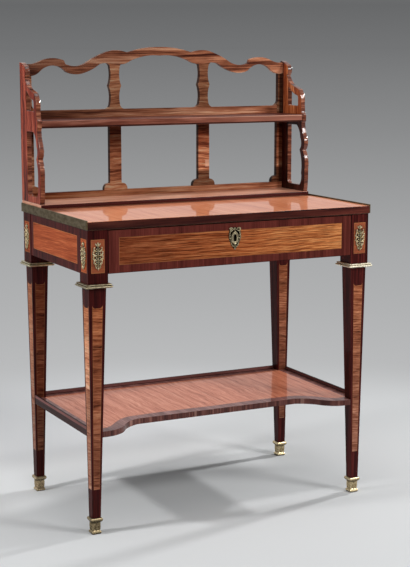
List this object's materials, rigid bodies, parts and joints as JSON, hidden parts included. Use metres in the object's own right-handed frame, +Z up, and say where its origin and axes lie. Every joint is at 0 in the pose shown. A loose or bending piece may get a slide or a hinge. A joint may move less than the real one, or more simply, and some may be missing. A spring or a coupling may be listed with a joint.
{
  "type": "bonheur du jour",
  "caption": "Small veneered writing table on square tapered legs, with a keyed drawer in the frieze, a curved shelf between the legs and a pierced tiered shelf unit on its top.",
  "frame": {"origin": "on the floor, under the middle of the table", "axes": "+X to the right as seen from the front, +Y towards the back, +Z up"},
  "size_m": [0.721, 0.413, 1.055],
  "materials": {
    "tulipwood_veneer": "polished",
    "amaranth": "polished",
    "oak": "unvarnished",
    "gilt_bronze": "satin",
    "brass_band": "aged",
    "lock_brass": "satin",
    "steel": "aged"
  },
  "bodies": {
    "table": {"apron_back": "tulipwood_veneer", "apron_left": "tulipwood_veneer", "apron_right": "tulipwood_veneer", "back_crest_rail": "tulipwood_veneer", "back_end_stile_left": "tulipwood_veneer", "back_end_stile_right": "tulipwood_veneer", "back_lower_rail": "tulipwood_veneer", "back_middle_rail": "tulipwood_veneer", "back_stile_left": "tulipwood_veneer", "back_stile_right": "tulipwood_veneer", "base_board": "tulipwood_veneer", "collar_front_left": "gilt_bronze", "collar_front_right": "gilt_bronze", "collar_rear_left": "gilt_bronze", "collar_rear_right": "gilt_bronze", "drawer_kicker_left": "oak", "drawer_kicker_right": "oak", "drawer_runner_left": "oak", "drawer_runner_right": "oak", "front_rail_lower": "oak", "front_rail_upper": "oak", "gallery_back": "amaranth", "gallery_left": "amaranth", "gallery_right": "amaranth", "leg_front_left": "tulipwood_veneer", "leg_front_right": "tulipwood_veneer", "leg_rear_left": "tulipwood_veneer", "leg_rear_right": "tulipwood_veneer", "lower_shelf": "tulipwood_veneer", "mount_front_left": "gilt_bronze", "mount_front_right": "gilt_bronze", "mount_pins": "gilt_bronze", "mount_side_front_left": "gilt_bronze", "mount_side_front_right": "gilt_bronze", "mount_side_rear_left": "gilt_bronze", "mount_side_rear_right": "gilt_bronze", "sabot_front_left": "gilt_bronze", "sabot_front_right": "gilt_bronze", "sabot_rear_left": "gilt_bronze", "sabot_rear_right": "gilt_bronze", "side_panel_left": "tulipwood_veneer", "side_panel_right": "tulipwood_veneer", "strike_plate": "lock_brass", "table_top": "tulipwood_veneer", "top_band_left": "brass_band", "top_band_right": "brass_band", "top_screws": "steel", "upper_shelf": "tulipwood_veneer"},
    "drawer": {"drawer_front": "tulipwood_veneer", "drawer_side_left": "oak", "drawer_side_right": "oak", "drawer_back": "oak", "drawer_bottom": "oak", "lock_case": "lock_brass", "lock_cap": "lock_brass", "lock_screws": "steel", "escutcheon": "gilt_bronze", "escutcheon_pins": "gilt_bronze"},
    "lock_bolt": {"lock_bolt": "steel"}
  },
  "joints": [
    {"name": "drawer_slide", "type": "slide", "parent": "table", "child": "drawer", "axis": [0, -1, 0], "range_m": [0, 0.28]},
    {"name": "lock_bolt_slide", "type": "slide", "parent": "drawer", "child": "lock_bolt", "axis": [0, 0, 1], "range_m": [0, 0.008]}
  ]
}
